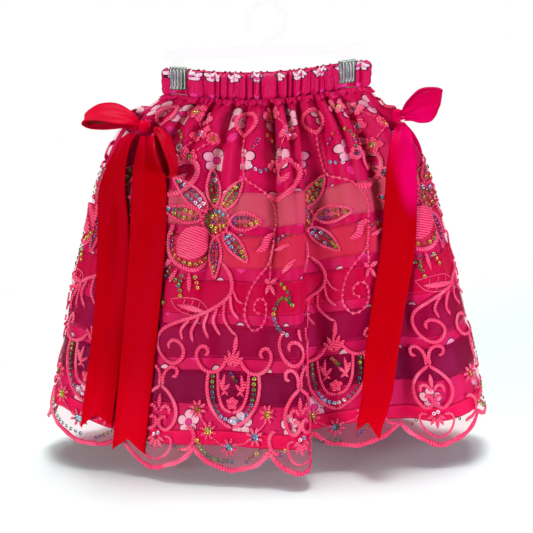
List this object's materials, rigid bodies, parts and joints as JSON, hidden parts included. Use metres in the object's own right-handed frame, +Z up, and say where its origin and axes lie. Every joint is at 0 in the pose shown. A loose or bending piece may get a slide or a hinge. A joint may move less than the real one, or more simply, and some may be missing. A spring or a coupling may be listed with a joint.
{
  "type": "ribbon skirt",
  "caption": "Child's gathered skirt of printed cotton with satin ribbon bands, sheer scalloped overlay and side bows, hanging by its elastic waistband from a clip hanger.",
  "frame": {"origin": "inside the top of the hanger's hook, where the rail bears", "axes": "+Z up, -Y towards the front of the skirt, +X to the right as seen from the front"},
  "size_m": [0.458, 0.2435, 0.4472],
  "materials": {
    "printed_cotton": "plain-weave cotton, printed",
    "waistband_print": "plain-weave cotton, printed, ruched on elastic",
    "embroidered_net": "sheer net with satin-stitch embroidery",
    "satin_blush": "satin ribbon",
    "satin_coral": "satin ribbon",
    "satin_rose": "satin ribbon",
    "satin_crimson": "satin ribbon",
    "satin_wine": "satin ribbon",
    "satin_flame": "satin ribbon",
    "satin_bow": "satin ribbon",
    "clip_steel": "ribbed, dull",
    "clear_plastic": "clear"
  },
  "bodies": {
    "root": {"waistband": "waistband_print", "cotton_front": "printed_cotton", "cotton_back": "printed_cotton", "overlay_front": "embroidered_net", "overlay_back": "embroidered_net", "hanger": "clear_plastic", "clip_left": "clip_steel", "clip_right": "clip_steel", "ribbon_blush_front": "satin_blush", "ribbon_blush_back": "satin_blush", "ribbon_coral_front": "satin_coral", "ribbon_coral_back": "satin_coral", "ribbon_rose_front": "satin_rose", "ribbon_rose_back": "satin_rose", "ribbon_crimson_front": "satin_crimson", "ribbon_crimson_back": "satin_crimson", "ribbon_wine_front": "satin_wine", "ribbon_wine_back": "satin_wine", "ribbon_flame_front": "satin_flame", "ribbon_flame_back": "satin_flame", "bow_left_knot": "satin_bow", "bow_left_loop_outer": "satin_bow", "bow_left_loop_inner": "satin_bow", "bow_left_tail_outer": "satin_bow", "bow_left_tail_inner": "satin_bow", "bow_right_knot": "satin_bow", "bow_right_loop_front": "satin_bow", "bow_right_loop_back": "satin_bow", "bow_right_tail_front": "satin_bow", "bow_right_tail_back": "satin_bow"}
  },
  "joints": []
}
